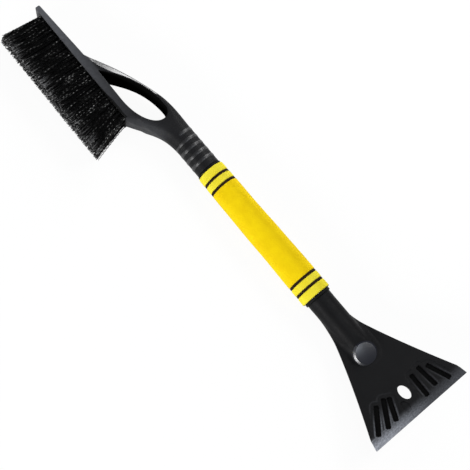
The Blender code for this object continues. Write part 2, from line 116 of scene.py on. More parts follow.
# Where the frame's edges change from the neck's round to a smaller one
UPPER_ROUND_FADE = (0.050, 0.095)
LOWER_ROUND_FADE = (0.035, 0.060)
SHOULDER_ROUND_FADE = (0.086, 0.101)
LOWER_SIDE_FADE = (0.094, 0.114)
ARM_HEIGHTS = (-0.0285, -0.0245)
NECK_SLACK = 0.0002
DEPTH_START = 0.052

# Slope of the upper arm's top, the glossy strip on it and the lean of the loop's wall, which carries
# painted shade
ARM_SLOPE = tan(radians(20.0))
ARM_SLOPE_RISE = (0.070, 0.128)
ARM_SLOPE_FALL = (0.172, 0.192)
ARM_STRIP = (0.098, 0.177)
ARM_STRIP_WIDTH = 0.0085
LOOP_WALL_LEAN = 0.6

# Painted sheen on the bar's flats, and a painted highlight along the shoulder under the lower arm
FLAT_HEIGHTS = (0.0085, 0.013)
FLAT_STATIONS = (0.075, 0.240)
FLAT_BACK = (0.0035, 0.009)
FLAT_BACK_FADE = 0.3
SHOULDER_HIGHLIGHT = 0.30
SHOULDER_HIGHLIGHT_RISE = (0.048, 0.066)
SHOULDER_HIGHLIGHT_FALL = (0.092, 0.104)
SHOULDER_HIGHLIGHT_REACH = 0.007

# Bristle rows, each a strip of tufts set in the bar
ROW_COUNT = 4
ROW_PITCH = 0.0082
STRIP_WIDTH = 0.0066
STRIP_THICKNESS = 0.002
STRIP_LENGTH = 0.1535
STRIP_NEAR_MARGIN = 0.0015
STRIP_EDGE = 0.0004
BRISTLE_LENGTH = 0.047
FLARE_NEAR = 0.0128
FLARE_FAR = 0.0042
FLARE_POWER = 2.2
FAR_ROW_LEAN = 0.0027
FLARE_ACROSS = 0.16
TUFT_LINES = 2
TUFTS_ALONG = 32
TUFT_SPAN = (-0.480, 0.492)
TUFT_FILAMENTS = 12
TUFT_RADIUS = 0.0014
TUFT_SPREAD = 0.0034
END_HOLD = 0.55
END_POWER = 8
TUFT_STAGGER = 0.5
FILAMENT_RADIUS = 0.00036
FILAMENT_TIP_SHARE = 0.75
FILAMENT_BOW = 0.0008
BOW_SHARES = (1.0, 0.5)
FILAMENT_BEND = 1.2
FILAMENT_SIDES = 3
FILAMENT_STEPS = 40
STRAY = 0.0004
CRIMP = 0.00034
CRIMP_START = 0.2
CRIMP_PERIOD = 0.0044
CRIMP_SCATTER = 1.0
# Which filaments carry painted glints on their crimps' crests, how thick they are, and how far towards
# their ends the tips get painted light
BRIGHT_SHARE = 0.20
BRIGHT_LEVELS = (0.2, 1.0)
BRIGHT_RUN = 1.7
BRIGHT_RADIUS = 1.55
TIP_PAINT_FROM = (0.66, 0.95)
TIP_PAINT_POWER = 5
PAINTED_GLINT_LEVELS = (0.65, 1.2)
RAGGED_TIP = 0.0005
FLOOR_CLEARANCE = 0.0004

# Scraper head. Stations run from the mouth of its neck towards the edge.
SCRAPER_SOCKET_DEPTH = 0.0383
WING_START = 0.018
WING_HALF_WIDTH = 0.0095
BLADE_LENGTH = 0.1597
BLADE_HALF_WIDTH = 0.0635
BLADE_CORNER_LENGTH = 0.012
BLADE_CORNER_NARROWING = 0.003
BLADE_FLARE_POWER = 1.2
BLADE_THICKNESS = 0.0042
BLADE_CRANK = radians(12.5)
BLADE_DROP = 0.0062
BLADE_DROP_STATION = 0.026
BLADE_EDGE_ROUND = 0.0009
BEVEL_LENGTH = 0.010
BEVEL_ROUND = 0.0004
EDGE_THICKNESS = 0.0012
RIDGE_LENGTH = 0.074
RIDGE_ROUND = 0.001
NOSE_LENGTH = 0.016
PAD_STATION = 0.0755
PAD_ASIDE = -0.0028
PAD_HEIGHT = 0.0117
PAD_SLOPE = radians(10.0)
PAD_RADIUS = 0.0133
PAD_PROUD = 0.0009
PAD_DOME = 0.090
PAD_RIM_CURVE = 0.013
PAD_RIM_TURNS = (radians(39.0), radians(51.0))
PAD_LIFT = 0.0005
PAD_STEPS = 14
PAD_DEPTH = 0.0085
PAD_GLOSS_SIDE = -0.25
PAD_CREASE = radians(22.0)
RAMP_START = 0.044
RAMP_SLOPE = radians(19.0)
RIDGE_FILLET = 0.005
MOUTH_RING = 0.008
RING_PROUD = 0.0001
RING_ROUND = 0.0008

# Hanging hole and ice grooves, measured along the blade from its edge
HOLE_FROM_EDGE = 0.0266
HOLE_LENGTH = 0.017
HOLE_WIDTH = 0.0114
HOLE_ROUND = 0.001

# Each groove's middle from the edge, middle across, length and turn
GROOVES = (
    (0.0221, -0.0419, 0.0323, radians(-38.2)),
    (0.0222, -0.030, 0.0322, radians(-33.3)),
    (0.0211, -0.0217, 0.0259, radians(-25.8)),
    (0.0217, 0.0165, 0.0277, radians(-4.7)),
    (0.0241, 0.0292, 0.0267, radians(2.5)),
    (0.0197, 0.0417, 0.0278, radians(19.3)),
)
GROOVE_WIDTH = 0.005
GROOVE_DEPTH = 0.0022
GROOVE_ROUND = 0.0013
GROOVE_EDGE_ROUND = 0.001
RECESS_REACH = 0.0002
RECESS_TOP = 0.0004
SCOOP_FROM_EDGE = 0.014
SCOOP_ASIDE = -0.0095
SCOOP_LENGTH = 0.013
SCOOP_WIDTH = 0.0085
SCOOP_DEPTH = 0.0014
SCOOP_ROUND = 0.0008
PANEL_MARGIN = 0.0042
PANEL_DEPTH = 0.0005
PANEL_ROUND = 0.0004

# Paler marks on the blade: scraped wear with painted sheen along the edge, and painted highlights on the
# bevel's crest, the panels' rims and beside the grooves. Pairs of strengths are the one all over and what
# the -Y corner adds, where painted light stands in for the light from that side.
WEAR_REACH = 0.014
FULL_WEAR_REACH = 0.002
LIT_CORNER_END = 0.4
EDGE_WEAR_AND_SHEEN = (0.16, 0.84)
CREST_HIGHLIGHT = (0.04, 0.6)
CREST_WIDTH = 0.0006
RIM_HIGHLIGHT = 0.06
RIM_WIDTH = 0.0005
RIM_FADE = (0.030, 0.036)
GROOVE_HIGHLIGHT = (0.08, 0.34)
GROOVE_HIGHLIGHT_PLACE = 0.0012
GROOVE_HIGHLIGHT_WIDTH = 0.0007
GROOVE_HIGHLIGHT_REACH = (0.034, 0.012)

# Meshes
FRAME_STEP = 0.00072
SCRAPER_STEP = 0.00075
NET_MARGIN_STEPS = 3
SCRAPER_NET_START = -0.006
SCRAPER_NET_HEIGHTS = (-0.042, 0.030)
SCRAPER_NET_MARGINS = (0.003, 0.002)
FLATNESS = 0.08
TINY = 1e-12
CREASE = radians(38.0)
TURN_STEPS = 128
TURNS = np.arange(TURN_STEPS) * 2 * pi / TURN_STEPS
ROUND_STEPS = 5
COLLAR_ROUND = 0.0006
TUBE_ROUND = 0.0004
TUBE_STEP = 0.004
STRIPE_ROUND = 0.0005
FOAM_STEP = 0.0015
FOAM_ROUND = 0.0011

# Waves of the foam's outside: how high, and each one's count round the grip and slant along it
FOAM_WAVE = 0.00008
FOAM_RIPPLES = ((3, 41), (5, -67), (2, 113))

# Dark and light tone of each finish, and single colours
FRAME_TONES = ((0.0085, 0.0085, 0.0092), (0.013, 0.013, 0.0142))
# Painted sheen on the bar's flats and painted highlight on the shoulder
SHEEN_PAINT_TONES = ((0.060, 0.062, 0.069), (0.112, 0.116, 0.126))
ARM_EDGE_TONES = ((0.014, 0.014, 0.016), (0.022, 0.022, 0.025))
RIB_TONES = ((0.014, 0.014, 0.015), (0.020, 0.020, 0.022))
# Painted shade in the loop's wall and the scraper's grooves
SHADE_TONES = ((0.002,) * 3, (0.004,) * 3)
SCRAPER_TONES = ((0.0065, 0.0065, 0.0069), (0.0095, 0.0095, 0.0102))
# Scraped wear, with painted sheen and highlights, on the blade
SCRAPED_AND_LIT_TONES = ((0.28, 0.295, 0.33), (0.46, 0.48, 0.53))
# The pad's paler, bluer black is a painted reflection
PAD_PAINTED_REFLECTION_TONES = ((0.013, 0.014, 0.019), (0.019, 0.020, 0.027))
SLEEVE_TONES = ((0.76, 0.525, 0.002), (0.83, 0.60, 0.003))
BAND_TONES = ((0.75, 0.62, 0.022), (0.81, 0.70, 0.045))
STRIPE_TONES = ((0.014, 0.008, 0.004), (0.026, 0.014, 0.007))
COLLAR_TONES = ((0.004,) * 3, (0.008,) * 3)
TUBE_TONES = ((0.46, 0.47, 0.49), (0.62, 0.63, 0.65))
NYLON_TONES = ((0.0006,) * 3, (0.0024, 0.0024, 0.0025))
# Painted glints on the bristles and painted light on their tips' ends
PAINTED_GLINT_COLOUR = (0.44, 0.44, 0.43)
LIT_TIP_PAINT_COLOUR = (0.34, 0.34, 0.345)
FLOOR_COLOUR = (0.97, 0.97, 0.97, 1.0)
COOL_WHITE = (0.86, 0.92, 1.0)

# Patterns of the finishes: the part of a noise's range that is used, and the foam's pores
NOISE_RANGE = (0.3, 0.7)
FOAM_CELLS = 900.0
FOAM_DENT_SHARE = 0.8

# How much of the floor's look is plain white, the rest being its lit paper with the shadow
FLOOR_WHITE = 0.94
FLOOR_HALF_SIZE = 5.0
FLOOR_DROP = 0.0005

# Light from all round: its strength at a low and at a high place in the sky
SKY_HEIGHTS = (0.1, 0.75)
SKY_LEVELS = (0.95, 0.35)

# The photo's camera: a square picture, with the grip's middle at this pixel
PICTURE = 470
FOCAL_PIXELS = 1100
SENSOR_MM = 36.0
GRIP_PIXEL = (262.9, 232.8)
CAMERA_DISTANCE = 1.177
HANDLE_ANGLE = radians(49.77)
HANDLE_TILT = radians(8.5)
SIDE_TILT = radians(14.0)


def smooth_step(value, low, high):
    share = np.clip((value - low) / (high - low), 0.0, 1.0)
    return share * share * (3 - 2 * share)


def hump(value, width):
    return np.exp(-(value / width) ** 2)


def both(a, b, radius):
    """Field of what lies in both shapes, with a round of that radius where their surfaces meet."""
    over_a = np.maximum(a + radius, 0.0)
    over_b = np.maximum(b + radius, 0.0)
    return np.minimum(np.maximum(a, b) + radius, 0.0) + np.sqrt(over_a ** 2 + over_b ** 2) - radius


def without(shape, cutter, radius):
    return both(shape, -cutter, radius)


def joined(a, b, fillet):
    return -both(-a, -b, fillet)


def box_field(x, y, half_x, half_y, corner):
    return both(np.abs(x) - half_x, np.abs(y) - half_y, corner)


def outline_field(x, y, outline):
    """Signed distance to a closed outline, negative inside."""
    nearest = np.full(np.broadcast(x, y).shape, np.inf)
    inside = np.zeros(nearest.shape, bool)
    for (ax, ay), (bx, by) in zip(outline, outline[1:] + outline[:1]):
        run_x, run_y = bx - ax, by - ay
        off_x, off_y = x - ax, y - ay
        along = np.clip((off_x * run_x + off_y * run_y) / (run_x ** 2 + run_y ** 2), 0.0, 1.0)
        nearest = np.minimum(nearest, (off_x - along * run_x) ** 2 + (off_y - along * run_y) ** 2)
        if ay != by:
            inside ^= ((ay > y) != (by > y)) & (off_x < off_y * run_x / run_y)
    distance = np.sqrt(nearest)
    return np.where(inside, -distance, distance)


def field_normals(field, points):
    """Unit directions in which the field grows at the given points."""
    reach = 0.00002
    slope = np.empty_like(points)
    for axis in range(3):
        ahead, behind = points.copy(), points.copy()
        ahead[:, axis] += reach
        behind[:, axis] -= reach
        slope[:, axis] = field(*ahead.T) - field(*behind.T)
    return slope / np.maximum(np.linalg.norm(slope, axis=1), TINY)[:, None]


def surface_net(field, low, high, step):
    """Points and quads on the zero level of a field, one point in each grid cell that it crosses.

    Each point goes where the tangent planes at its cell's crossings meet, which keeps edges crisp.
    """
    axes = [np.arange(a, b + step, step) for a, b in zip(low, high)]
    shape = [len(a) for a in axes]
    values = np.broadcast_to(field(*np.meshgrid(*axes, indexing="ij", sparse=True)), shape)
    inside = values < 0
    cells = np.array(shape) - 1
    index = np.full(cells, -1)
    planes, middles, faces = [], [], []
    for axis in range(3):
        one, two = (axis + 1) % 3, (axis + 2) % 3
        start = np.argwhere(np.diff(inside, axis=axis))
        start = start[(start[:, one] > 0) & (start[:, two] > 0)]
        start = start[(start[:, one] < cells[one]) & (start[:, two] < cells[two])]
        end = start + np.eye(3, dtype=int)[axis]
        a, b = values[tuple(start.T)], values[tuple(end.T)]
        crossing = start.astype(float)
        crossing[:, axis] += a / (a - b)
        crossing = np.array(low) + step * crossing
        ring = []
        for back_one, back_two in ((1, 1), (0, 1), (0, 0), (1, 0)):
            cell = start.copy()
            cell[:, one] -= back_one
            cell[:, two] -= back_two
            index[tuple(cell.T)] = 0
            ring.append(cell)
        planes.append(field_normals(field, crossing))
        middles.append(crossing)
        faces.append((ring, a < 0))
    used = index == 0
    count = int(used.sum())
    index[used] = np.arange(count)
    # Sums of a point: products of normals, normals times offsets, its crossings and their count
    sums = np.zeros((count, 13))
    quads = []
    for normal, crossing, (ring, leaving) in zip(planes, middles, faces):
        offset = (normal * crossing).sum(1)
        terms = [normal[:, i] * normal[:, j] for i in range(3) for j in range(i, 3)]
        terms += [normal[:, i] * offset for i in range(3)]
        terms += [crossing[:, i] for i in range(3)] + [np.ones(len(crossing))]
        corners = np.array([index[tuple(cell.T)] for cell in ring]).T
        for corner in corners.T:
            for column, term in enumerate(terms):
                sums[:, column] += np.bincount(corner, term, count)
        quads.append(np.where(leaving[:, None], corners, corners[:, ::-1]))
    middle = sums[:, 9:12] / sums[:, 12:]
    square = sums[:, [0, 1, 2, 1, 3, 4, 2, 4, 5]].reshape(-1, 3, 3)
    pull = sums[:, 6:9] - np.einsum("nij,nj->ni", square, middle)
    square = square + FLATNESS * np.eye(3)
    shift = np.linalg.solve(square, pull[:, :, None])[:, :, 0]
    return middle + np.clip(shift, -step / 2, step / 2), np.concatenate(quads)


def new_object(name, data):
    thing = bpy.data.objects.new(name, data)
    bpy.context.scene.collection.objects.link(thing)
    return thing


def new_piece(name, points, faces, materials, slots=None, attributes=None, crease=CREASE):
    mesh = bpy.data.meshes.new(name)
    mesh.from_pydata(np.asarray(points).tolist(), [], [list(face) for face in faces])
    for material in materials:
        mesh.materials.append(material)
    if slots is not None:
        mesh.polygons.foreach_set("material_index", np.asarray(slots, np.int32))
    for key, values in (attributes or {}).items():
        layer = mesh.attributes.new(key, "FLOAT", "POINT")
        layer.data.foreach_set("value", np.asarray(values, np.float32))
    mesh.update()
    mesh.shade_smooth()
    mesh.set_sharp_from_angle(angle=crease)
    return new_object(name, mesh)


def moved(points, matrix):
    return points @ np.array(matrix.to_3x3()).T + np.array(matrix.translation)


def place(piece, body, slot, *nodes):
    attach(piece, body)
    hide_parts(*nodes)


def new_node(tree, kind, inputs=None, **settings):
    node = tree.nodes.new(kind)
    for name, value in settings.items():
        setattr(node, name, value)
    for key, value in (inputs or {}).items():
        if isinstance(value, bpy.types.NodeSocket):
            tree.links.new(value, node.inputs[key])
        else:
            node.inputs[key].default_value = value
    return node


class Finish:
    """A Principled material, with helpers for the patterns that drive it."""

    def __init__(self, name, roughness, specular):
        self.material = bpy.data.materials.new(name)
        self.material.use_nodes = True
        self.tree = self.material.node_tree
        self.shader = self.tree.nodes["Principled BSDF"]
        self.coordinates = self.tree.nodes.new("ShaderNodeTexCoord").outputs["Object"]
        self.set("Roughness", roughness)
        self.set("Specular IOR Level", specular)

    def set(self, socket, value):
        self.shader.inputs[socket].default_value = value

    def noise(self, scale, detail=2.0, stretch=(1.0, 1.0, 1.0)):
        vector = self.coordinates
        if stretch != (1.0, 1.0, 1.0):
            inputs = {"Vector": vector, "Scale": stretch}
            vector = new_node(self.tree, "ShaderNodeMapping", inputs).outputs["Vector"]
        inputs = {"Vector": vector, "Scale": scale, "Detail": detail}
        return new_node(self.tree, "ShaderNodeTexNoise", inputs).outputs[0]

    def attribute(self, name):
        return new_node(self.tree, "ShaderNodeAttribute", attribute_name=name).outputs["Fac"]

    def span(self, noise, low, high):
        inputs = dict(enumerate((noise, *NOISE_RANGE, low, high)))
        return new_node(self.tree, "ShaderNodeMapRange", inputs).outputs[0]

    def times(self, a, b):
        return new_node(self.tree, "ShaderNodeMath", {0: a, 1: b}, operation="MULTIPLY").outputs[0]

    def plus(self, a, b):
        return new_node(self.tree, "ShaderNodeMath", {0: a, 1: b}, operation="ADD").outputs[0]

    def mix(self, share, a, b):
        inputs = {0: share}
        for key, value in ((6, a), (7, b)):
            inputs[key] = value if isinstance(value, bpy.types.NodeSocket) else (*value, 1.0)
        return new_node(self.tree, "ShaderNodeMix", inputs, data_type="RGBA").outputs[2]

    def drive(self, socket, value):
        self.tree.links.new(value, self.shader.inputs[socket])

    def colour(self, share, a, b):
        self.drive("Base Color", self.mix(share, a, b))

    def base_colour(self):
        return self.shader.inputs["Base Color"].links[0].from_socket

    def coat(self, roughness, ior):
        self.set("Coat Weight", 1.0)
        self.set("Coat Roughness", roughness)
        self.set("Coat IOR", ior)

    def bump(self, height, strength, distance):
        inputs = {"Strength": strength, "Distance": distance, "Height": height}
        self.drive("Normal", new_node(self.tree, "ShaderNodeBump", inputs).outputs["Normal"])


def plastic(name, tones, roughness, specular, grain=0.25, patches=0.07):
    """Moulded plastic: a fine grain, patches that are a little duller and faint tone changes."""
    finish = Finish(name, roughness, specular)
    finish.colour(finish.noise(scale=60.0, detail=3.0), *tones)
    patchy = finish.noise(scale=140.0, detail=4.0)
    finish.drive("Roughness", finish.span(patchy, roughness - patches, roughness + patches))
    finish.bump(finish.noise(scale=2600.0), strength=grain, distance=0.0002)
    return finish


def smooth_plastic(name, tones, roughness, specular):
    """Plastic from a polished part of the mould."""
    return plastic(name, tones, roughness, specular, grain=0.0, patches=0.01)


def bar_underside(u):
    return -(BAR_DROP - (u - BAR_NEAR) * tan(BAR_TILT))


def bar_back(u):
    """Back edge of the bar, which thins from the arch to the far end."""
    share = (u - ARCH_END) / (BAR_FAR - ARCH_END)
    return bar_underside(u) + BAR_ROOT_THICKNESS + (BAR_TIP_THICKNESS - BAR_ROOT_THICKNESS) * share


def arch(u):
    """Outer edge of the upper arm, from the top of the neck down to the bar."""
    share = (u - ARCH_START) / (ARCH_END - ARCH_START)
    return NECK_RADIUS - (NECK_RADIUS - bar_back(ARCH_END)) * share ** ARCH_POWER


def shoulder(u):
    """Lower edge of the lower arm, from under the neck down to the bar's near corner."""
    corner = bar_underside(BAR_NEAR) + SHOULDER_STEP
    share = np.maximum(u - BLEND_START, 0.0) / (SHOULDER_NEAR - BLEND_START)
    return -NECK_RADIUS + (corner + NECK_RADIUS) * share ** SHOULDER_POWER


def spread(start, end, steps):
    return [start + (end - start) * i / steps for i in range(steps + 1)]


def frame_outline():
    """The frame in plan, drawn past the mouth and the far end, which are cut off later."""
    reach = 0.02
    outline = [(-reach, NECK_RADIUS)]
    outline += [(u, arch(u)) for u in spread(ARCH_START, ARCH_END, OUTLINE_STEPS)]
    end = BAR_FAR + reach
    outline += [(end, bar_back(end)), (end, bar_underside(end))]
    outline.append((SLOTS_NEAR, bar_underside(SLOTS_NEAR)))
    outline += [(u, shoulder(u)) for u in spread(SHOULDER_NEAR, BLEND_START, OUTLINE_STEPS // 2)]
    outline.append((-reach, -NECK_RADIUS))
    return outline


def oval_quarter(reach, end):
    """Quarter of an oval from the loop's near end to a height, without that last point."""
    middle = -LOOP_MIDDLE_DROP
    points = []
    for turn in spread(0.0, pi / 2, LOOP_STEPS)[:-1]:
        points.append((LOOP_NEAR + reach * (1 - cos(turn)), middle + (end - middle) * sin(turn)))
    return points


def loop_outline():
    """The finger loop: a round near end, an arched top, a flat foot and a pointed far end."""
    top_start = LOOP_NEAR + LOOP_UPPER_ROUND
    foot_start = LOOP_NEAR + LOOP_LOWER_ROUND
    top = arch(top_start) - UPPER_ARM_THICKNESS
    foot = bar_underside(foot_start) + LOWER_ARM_THICKNESS
    tip = bar_underside(LOOP_FAR) + LOWER_ARM_THICKNESS
    outline = oval_quarter(LOOP_UPPER_ROUND, top)
    for u in spread(top_start, LOOP_FAR, LOOP_STEPS):
        share = (u - top_start) / (LOOP_FAR - top_start)
        outline.append((u, top - (top - tip) * share ** LOOP_CURVE_POWER))
    outline.append((foot_start, foot))
    return outline + oval_quarter(LOOP_LOWER_ROUND, foot)[:0:-1]


def row_offset(row):
    return (row - (ROW_COUNT - 1) / 2) * ROW_PITCH


def make_frame_field():
    outer, loop = frame_outline(), loop_outline()
    pocket_middle = SLOTS_NEAR + STRIP_NEAR_MARGIN + STRIP_LENGTH / 2
    pocket_half = row_offset(ROW_COUNT - 1) + STRIP_WIDTH / 2 + SEAT_GAP
    neck_round = NECK_RADIUS - NECK_SLACK

    def field(x, y, z):
        u = BRUSH_MOUTH - x
        y = y - AXIS.y
        z = z - AXIS.z
        edge = both(outline_field(u, y, outer), u - BAR_FAR, BAR_END_ROUND)
        half = NECK_RADIUS + (BAR_HALF_DEPTH - NECK_RADIUS) * smooth_step(u, DEPTH_START, ARCH_END)
        above = neck_round + (BAR_EDGE_ROUND - neck_round) * smooth_step(u, *UPPER_ROUND_FADE)
        below = neck_round + (SHOULDER_ROUND - neck_round) * smooth_step(u, *LOWER_ROUND_FADE)
        fade = np.where(z < 0, smooth_step(u, *LOWER_SIDE_FADE), smooth_step(u, *SHOULDER_ROUND_FADE))
        below = below + (BAR_EDGE_ROUND - SHOULDER_ROUND) * fade
        on_upper_arm = smooth_step(y, *ARM_HEIGHTS)
        round_off = below + (above - below) * on_upper_arm
        sloping = smooth_step(u, *ARM_SLOPE_RISE) * (1 - smooth_step(u, *ARM_SLOPE_FALL)) * on_upper_arm
        half = half - ARM_SLOPE * sloping * np.maximum(edge + UPPER_ARM_THICKNESS, 0.0)
        shape = both(edge, np.abs(z) - half, round_off)
        shape = without(shape, outline_field(u, y, loop), LOOP_EDGE_ROUND)
        shape = both(shape, -u, NECK_EDGE)
        bore = np.maximum(np.sqrt(y ** 2 + z ** 2) - BORE_RADIUS, u - BRUSH_SOCKET_DEPTH)
        shape = without(shape, bore, POCKET_ROUND)
        floor = y - bar_underside(u) - STRIP_THICKNESS - SEAT_GAP
        sides = box_field(u - pocket_middle, z, STRIP_LENGTH / 2 + SEAT_GAP, pocket_half, POCKET_ROUND)
        return without(shape, np.maximum(floor, sides), POCKET_ROUND)

    return field


def arm_edge_plastic():
    """The glossy strip along the top of the upper arm."""
    finish = smooth_plastic("arm_edge_plastic", ARM_EDGE_TONES, roughness=0.30, specular=0.8)
    finish.coat(roughness=0.22, ior=1.75)
    return finish


def frame_slots(u, y, across, up):
    """Finish of each face: 1 on the strip along the upper arm, 2 on the loop's wall, whose near-black
    finish is painted shade, 0 elsewhere.
    """
    slots = np.zeros(len(u), int)
    from_loop = outline_field(u, y, loop_outline())
    below_arch = arch(np.clip(u, ARCH_START, ARCH_END)) - y
    share = np.clip((u - ARM_STRIP[0]) / (ARM_STRIP[1] - ARM_STRIP[0]), 0.0, 1.0)
    on_arm = below_arch < ARM_STRIP_WIDTH * np.sqrt(np.sin(pi * share))
    slots[on_arm & (share > 0) & (from_loop > LOOP_EDGE_ROUND) & (up > across)] = 1
    slots[(from_loop < LOOP_EDGE_ROUND) & (across < -LOOP_WALL_LEAN * np.abs(up))] = 2
    return slots


def frame_painted_sheen(u, y):
    """How much painted sheen each point gets: on the bar's flats, and a painted highlight along the
    shoulder under the lower arm.
    """
    height = y - bar_underside(u)
    painted_sheen = (1 - smooth_step(height, *FLAT_HEIGHTS)) * np.interp(u, FLAT_STATIONS, (0.0, 1.0))
    painted_sheen = painted_sheen * (1 - FLAT_BACK_FADE * smooth_step(height, *FLAT_BACK))
    under_arm = smooth_step(u, *SHOULDER_HIGHLIGHT_RISE) * (1 - smooth_step(u, *SHOULDER_HIGHLIGHT_FALL))
    return np.maximum(painted_sheen, SHOULDER_HIGHLIGHT * under_arm * hump(y - shoulder(u), SHOULDER_HIGHLIGHT_REACH))


def frame_plastic():
    """Black plastic, painted paler as painted sheen on the bar's flats and a painted highlight on the
    shoulder under the lower arm.
    """
    finish = plastic("frame_plastic", FRAME_TONES, roughness=0.5, specular=0.08)
    sheen_paint = finish.mix(finish.noise(scale=300.0, detail=4.0), *SHEEN_PAINT_TONES)
    finish.colour(finish.attribute("painted_sheen"), finish.base_colour(), sheen_paint)
    return finish


def make_brush_frame():
    low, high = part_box("brush_frame")
    margin = Vector((FRAME_STEP,) * 3) * NET_MARGIN_STEPS
    points, quads = surface_net(make_frame_field(), low - margin, high + margin, FRAME_STEP)
    u = BRUSH_MOUTH - points[:, 0]
    y = points[:, 1] - AXIS.y
    corners = points[quads]
    across, up = np.cross(corners[:, 2] - corners[:, 0], corners[:, 3] - corners[:, 1])[:, 1:].T
    slots = frame_slots(u[quads].mean(1), y[quads].mean(1), across, up)
    # The loop's wall gets a near-black, matte finish that is painted shade
    inner = plastic("loop_wall_painted_shade", SHADE_TONES, roughness=0.7, specular=0.0)
    finishes = [frame_plastic().material, arm_edge_plastic().material, inner.material]
    piece = new_piece("brush_frame_moulding", points, quads, finishes, slots, {"painted_sheen": frame_painted_sheen(u, y)})
    place(piece, "brush", "frame_plastic", "brush_frame")


def make_ribs():
    """Rings round the neck, each a low bead that is let into it."""
    half = RIB_WIDTH / 2
    foot = NECK_RADIUS - RIB_SEAT
    points, faces = [], []
    for rib in range(RIB_COUNT):
        middle = BRUSH_MOUTH - FIRST_RIB - rib * RIB_PITCH
        profile = [(middle - half, foot), (middle + half, foot)]
        for turn in spread(0.0, pi, RIB_STEPS):
            rise = (RIB_HEIGHT + RIB_SINK) * sin(turn) - RIB_SINK
            profile.append((middle + half * cos(turn), NECK_RADIUS + rise))
        ring, sides = turned_mesh(profile)
        faces.append(sides + sum(len(p) for p in points))
        points.append(ring)
    finish = plastic("rib_plastic", RIB_TONES, roughness=0.40, specular=0.42, grain=0.02, patches=0.02)
    piece = new_piece("neck_ribs", np.concatenate(points), np.concatenate(faces), [finish.material])
    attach(piece, "brush")


def blade_outline():
    corner_half = BLADE_HALF_WIDTH - BLADE_CORNER_NARROWING
    corner = BLADE_LENGTH - BLADE_CORNER_LENGTH
    right = []
    for v in spread(WING_START, corner, OUTLINE_STEPS):
        share = (v - WING_START) / (corner - WING_START)
        flare = (corner_half - WING_HALF_WIDTH) * share ** BLADE_FLARE_POWER
        right.append((v, WING_HALF_WIDTH + flare))
    right.append((BLADE_LENGTH, BLADE_HALF_WIDTH))
    return right + [(v, -half) for v, half in reversed(right)]


def groove_field(v, y):
    """Plan of all the grooves, negative inside them."""
    field = np.inf
    for from_edge, across, length, turn in GROOVES:
        off_v = v - BLADE_LENGTH + from_edge
        off_y = y - across
        along = off_v * cos(turn) + off_y * sin(turn)
        beside = off_y * cos(turn) - off_v * sin(turn)
        field = np.minimum(field, box_field(along, beside, length / 2, GROOVE_WIDTH / 2, GROOVE_ROUND))
    return field


def oval_field(v, y, from_edge, aside, length, width):
    """Plan of an oval on the blade, negative inside it."""
    share_v = (v - BLADE_LENGTH + from_edge) * 2 / length
    share_y = (y - aside) * 2 / width
    return (np.sqrt(share_v ** 2 + share_y ** 2) - 1.0) * width / 2


def handle_place(v, w):
    """Station and height in the handle's frame of a point given along and above the blade."""
    reach = v - BLADE_DROP_STATION
    x = BLADE_DROP_STATION + reach * cos(BLADE_CRANK) - w * sin(BLADE_CRANK)
    z = -BLADE_DROP + reach * sin(BLADE_CRANK) + w * cos(BLADE_CRANK)
    return x, z


def above_pad(x, z):
    """Height over the face of the round pad at the ridge's end."""
    return (x - PAD_STATION) * sin(PAD_SLOPE) + (z - PAD_HEIGHT) * cos(PAD_SLOPE)


def scraper_field(v, y, w):
    """The scraper head in the blade's own frame: v along the blade, w up from its middle plane."""
    x, z = handle_place(v, w)
    top = BLADE_THICKNESS / 2
    blade = both(outline_field(v, y, blade_outline()), np.abs(w) - top, BLADE_EDGE_ROUND)
    slope = (BLADE_THICKNESS - EDGE_THICKNESS) / BEVEL_LENGTH
    blade = both(blade, w - top + slope * (v - BLADE_LENGTH + BEVEL_LENGTH), BEVEL_ROUND)
    past = np.maximum(x - RIDGE_LENGTH, 0.0) * NECK_RADIUS / NOSE_LENGTH
    ridge = np.sqrt(y ** 2 + z ** 2 + past ** 2) - NECK_RADIUS
    ridge = both(ridge, above_pad(x, z) + PAD_PROUD, RIDGE_ROUND)
    ramp = (-NECK_RADIUS + tan(RAMP_SLOPE) * (x - RAMP_START) - z) * cos(RAMP_SLOPE)
    ridge = both(ridge, ramp, RIDGE_ROUND)
    head = joined(ridge, blade, RIDGE_FILLET)
    head = both(head, MOUTH_RING / 2 - x, NECK_EDGE)
    bore = np.maximum(np.sqrt(y ** 2 + z ** 2) - BORE_RADIUS, x - SCRAPER_SOCKET_DEPTH)
    head = without(head, bore, POCKET_ROUND)
    hole = oval_field(v, y, HOLE_FROM_EDGE, 0.0, HOLE_LENGTH, HOLE_WIDTH)
    head = without(head, hole, HOLE_ROUND)
    scoop = oval_field(v, y, SCOOP_FROM_EDGE, SCOOP_ASIDE, SCOOP_LENGTH, SCOOP_WIDTH)
    head = without(head, np.maximum(scoop, top - SCOOP_DEPTH - w), SCOOP_ROUND)
    grooves = groove_field(v, y)
    panel = np.maximum(grooves - PANEL_MARGIN, top - PANEL_DEPTH - w)
    panel = np.maximum(panel, v - BLADE_LENGTH + BEVEL_LENGTH)
    head = without(head, panel, PANEL_ROUND)
    return without(head, np.maximum(grooves, top - GROOVE_DEPTH - w), GROOVE_EDGE_ROUND)


def scraper_plastic():
    """Black plastic, paler along the blade's edge from scraped wear and painted sheen, with painted
    highlights on the bevel's crest and about the grooves.
    """
    finish = plastic("scraper_plastic", SCRAPER_TONES, roughness=0.5, specular=0.06)
    scratches = finish.noise(scale=750.0, detail=4.0, stretch=(1.0, 0.6, 1.0))
    marks = finish.span(scratches, low=0.5, high=1.1)
    pale_paint = finish.times(finish.attribute("wear_and_highlight"), marks)
    scraped_and_lit = finish.mix(finish.noise(scale=500.0, detail=3.0), *SCRAPED_AND_LIT_TONES)
    finish.colour(pale_paint, finish.base_colour(), scraped_and_lit)
    return finish


def blade_matrix():
    pivot = Matrix.Translation((SCRAPER_MOUTH + BLADE_DROP_STATION, AXIS.y, AXIS.z - BLADE_DROP))
    back = Matrix.Translation((-BLADE_DROP_STATION, 0.0, 0.0))
    return pivot @ Matrix.Rotation(-BLADE_CRANK, 4, "Y") @ back


